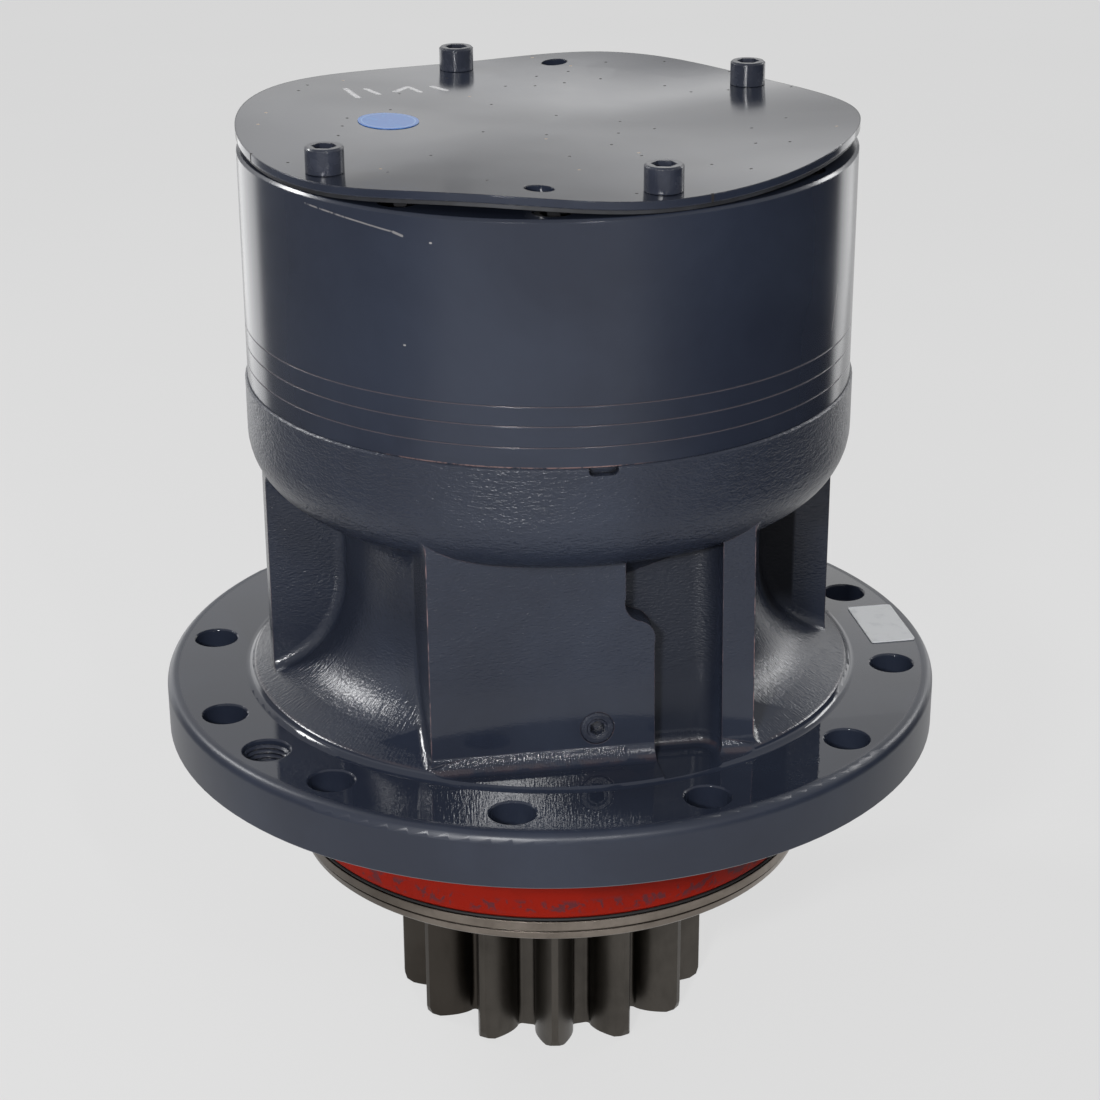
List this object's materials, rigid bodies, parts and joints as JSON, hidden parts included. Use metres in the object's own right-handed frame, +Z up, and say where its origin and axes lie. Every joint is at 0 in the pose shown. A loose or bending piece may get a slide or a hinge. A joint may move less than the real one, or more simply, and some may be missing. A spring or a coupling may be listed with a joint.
{
  "type": "excavator swing gearbox",
  "caption": "Vertical planetary swing gearbox: flanged cast housing with a pinned-down domed top plate, ring gear body, and an output pinion hanging below the spigot.",
  "frame": {"origin": "centre of the flange's underside, the mounting face, on the gearbox axis", "axes": "+Z up along the gearbox axis towards the motor side; +X through the middle of one flange hole, and the flat front pad of the casting faces 75 degrees below +X, towards -Y"},
  "size_m": [0.4699, 0.47, 0.5726],
  "materials": {
    "grey_paint": "gloss dark slate paint over casting and machined faces",
    "oiled_steel": "machined steel under a brown oil film",
    "gear_steel": "ground and case hardened",
    "bearing_steel": "ground, bright",
    "black_steel": "black oxide",
    "carrier_iron": "machined nodular iron",
    "brass": "machined bronze",
    "rubber": "matt black",
    "gasket": "dark sheet gasket, painted over at the edge",
    "label": "blank white film",
    "sticker": "plain blue film"
  },
  "bodies": {
    "housing": {"casing": "grey_paint", "ring_gear": "grey_paint", "ring_gear_bolts": "black_steel", "dowel_pins": "gear_steel", "joint_o_ring": "rubber", "cover_gasket": "gasket", "cover_plate": "grey_paint", "cover_screws": "grey_paint", "inspection_sticker": "sticker", "blank_label": "label", "drain_plug": "grey_paint", "seal_cover": "oiled_steel", "seal_cover_screws": "black_steel", "spigot_o_ring": "rubber", "shaft_seal": "rubber", "lower_bearing_outer_race": "bearing_steel", "upper_bearing_outer_race": "bearing_steel", "upper_bearing_circlip": "black_steel"},
    "output_shaft": {"drive_shaft": "oiled_steel", "lower_bearing_inner_race": "bearing_steel", "upper_bearing_inner_race": "bearing_steel", "bearing_locknut": "black_steel", "lock_washer": "black_steel", "retaining_plate": "gear_steel", "retaining_plate_screws": "black_steel", "carrier_2": "carrier_iron", "pin_lock_pins": "black_steel", "planet_pins_2": "bearing_steel", "planet_washers_2": "brass"},
    "first_carrier": {"carrier_1": "carrier_iron", "sun_gear_2": "gear_steel", "planet_pins_1": "bearing_steel", "planet_washers_1": "brass", "planet_circlips": "black_steel", "sun_washer": "brass"},
    "input_sun": {"sun_gear_1": "gear_steel"},
    "lower_rollers": {"lower_bearing_rollers": "bearing_steel"},
    "upper_rollers": {"upper_bearing_rollers": "bearing_steel"},
    "planet_1a": {"planet_gear_1a": "gear_steel"},
    "needles_1a": {"needle_cage_1a": "bearing_steel"},
    "planet_1b": {"planet_gear_1b": "gear_steel"},
    "needles_1b": {"needle_cage_1b": "bearing_steel"},
    "planet_1c": {"planet_gear_1c": "gear_steel"},
    "needles_1c": {"needle_cage_1c": "bearing_steel"},
    "planet_2a": {"planet_gear_2a": "gear_steel"},
    "needles_2a": {"needle_cage_2a": "bearing_steel"},
    "planet_2b": {"planet_gear_2b": "gear_steel"},
    "needles_2b": {"needle_cage_2b": "bearing_steel"},
    "planet_2c": {"planet_gear_2c": "gear_steel"},
    "needles_2c": {"needle_cage_2c": "bearing_steel"},
    "planet_2d": {"planet_gear_2d": "gear_steel"},
    "needles_2d": {"needle_cage_2d": "bearing_steel"}
  },
  "joints": [
    {"name": "output_turn", "type": "hinge", "parent": "housing", "child": "output_shaft", "pos_m": [0, 0, 0], "axis": [0, 0, 1], "continuous": true},
    {"name": "first_carrier_turn", "type": "hinge", "parent": "housing", "child": "first_carrier", "pos_m": [0, 0, 0.3], "axis": [0, 0, 1], "continuous": true},
    {"name": "input_sun_turn", "type": "hinge", "parent": "housing", "child": "input_sun", "pos_m": [0, 0, 0.33], "axis": [0, 0, 1], "continuous": true},
    {"name": "lower_rollers_turn", "type": "hinge", "parent": "housing", "child": "lower_rollers", "pos_m": [0, 0, -0.023], "axis": [0, 0, 1], "continuous": true},
    {"name": "upper_rollers_turn", "type": "hinge", "parent": "housing", "child": "upper_rollers", "pos_m": [0, 0, 0.152], "axis": [0, 0, 1], "continuous": true},
    {"name": "planet_1a_turn", "type": "hinge", "parent": "first_carrier", "child": "planet_1a", "pos_m": [0.084, 0, 0.33], "axis": [0, 0, 1], "continuous": true},
    {"name": "needles_1a_turn", "type": "hinge", "parent": "first_carrier", "child": "needles_1a", "pos_m": [0.084, 0, 0.33], "axis": [0, 0, 1], "continuous": true},
    {"name": "planet_1b_turn", "type": "hinge", "parent": "first_carrier", "child": "planet_1b", "pos_m": [-0.042, 0.07275, 0.33], "axis": [0, 0, 1], "continuous": true},
    {"name": "needles_1b_turn", "type": "hinge", "parent": "first_carrier", "child": "needles_1b", "pos_m": [-0.042, 0.07275, 0.33], "axis": [0, 0, 1], "continuous": true},
    {"name": "planet_1c_turn", "type": "hinge", "parent": "first_carrier", "child": "planet_1c", "pos_m": [-0.042, -0.07275, 0.33], "axis": [0, 0, 1], "continuous": true},
    {"name": "needles_1c_turn", "type": "hinge", "parent": "first_carrier", "child": "needles_1c", "pos_m": [-0.042, -0.07275, 0.33], "axis": [0, 0, 1], "continuous": true},
    {"name": "planet_2a_turn", "type": "hinge", "parent": "output_shaft", "child": "planet_2a", "pos_m": [0.096, 0, 0.25], "axis": [0, 0, 1], "continuous": true},
    {"name": "needles_2a_turn", "type": "hinge", "parent": "output_shaft", "child": "needles_2a", "pos_m": [0.096, 0, 0.25], "axis": [0, 0, 1], "continuous": true},
    {"name": "planet_2b_turn", "type": "hinge", "parent": "output_shaft", "child": "planet_2b", "pos_m": [0, 0.096, 0.25], "axis": [0, 0, 1], "continuous": true},
    {"name": "needles_2b_turn", "type": "hinge", "parent": "output_shaft", "child": "needles_2b", "pos_m": [0, 0.096, 0.25], "axis": [0, 0, 1], "continuous": true},
    {"name": "planet_2c_turn", "type": "hinge", "parent": "output_shaft", "child": "planet_2c", "pos_m": [-0.096, 0, 0.25], "axis": [0, 0, 1], "continuous": true},
    {"name": "needles_2c_turn", "type": "hinge", "parent": "output_shaft", "child": "needles_2c", "pos_m": [-0.096, 0, 0.25], "axis": [0, 0, 1], "continuous": true},
    {"name": "planet_2d_turn", "type": "hinge", "parent": "output_shaft", "child": "planet_2d", "pos_m": [0, -0.096, 0.25], "axis": [0, 0, 1], "continuous": true},
    {"name": "needles_2d_turn", "type": "hinge", "parent": "output_shaft", "child": "needles_2d", "pos_m": [0, -0.096, 0.25], "axis": [0, 0, 1], "continuous": true}
  ],
  "couplings": [
    {"joint": "first_carrier_turn", "follows": "output_turn", "ratio": 3.5556},
    {"joint": "input_sun_turn", "follows": "output_turn", "ratio": 19.911},
    {"joint": "lower_rollers_turn", "follows": "output_turn", "ratio": 0.4256},
    {"joint": "upper_rollers_turn", "follows": "output_turn", "ratio": 0.428},
    {"joint": "planet_1a_turn", "follows": "output_turn", "ratio": -9.0864},
    {"joint": "needles_1a_turn", "follows": "output_turn", "ratio": -5.2343},
    {"joint": "planet_1b_turn", "follows": "output_turn", "ratio": -9.0864},
    {"joint": "needles_1b_turn", "follows": "output_turn", "ratio": -5.2343},
    {"joint": "planet_1c_turn", "follows": "output_turn", "ratio": -9.0864},
    {"joint": "needles_1c_turn", "follows": "output_turn", "ratio": -5.2343},
    {"joint": "planet_2a_turn", "follows": "output_turn", "ratio": -3.2857},
    {"joint": "needles_2a_turn", "follows": "output_turn", "ratio": -1.8701},
    {"joint": "planet_2b_turn", "follows": "output_turn", "ratio": -3.2857},
    {"joint": "needles_2b_turn", "follows": "output_turn", "ratio": -1.8701},
    {"joint": "planet_2c_turn", "follows": "output_turn", "ratio": -3.2857},
    {"joint": "needles_2c_turn", "follows": "output_turn", "ratio": -1.8701},
    {"joint": "planet_2d_turn", "follows": "output_turn", "ratio": -3.2857},
    {"joint": "needles_2d_turn", "follows": "output_turn", "ratio": -1.8701}
  ]
}
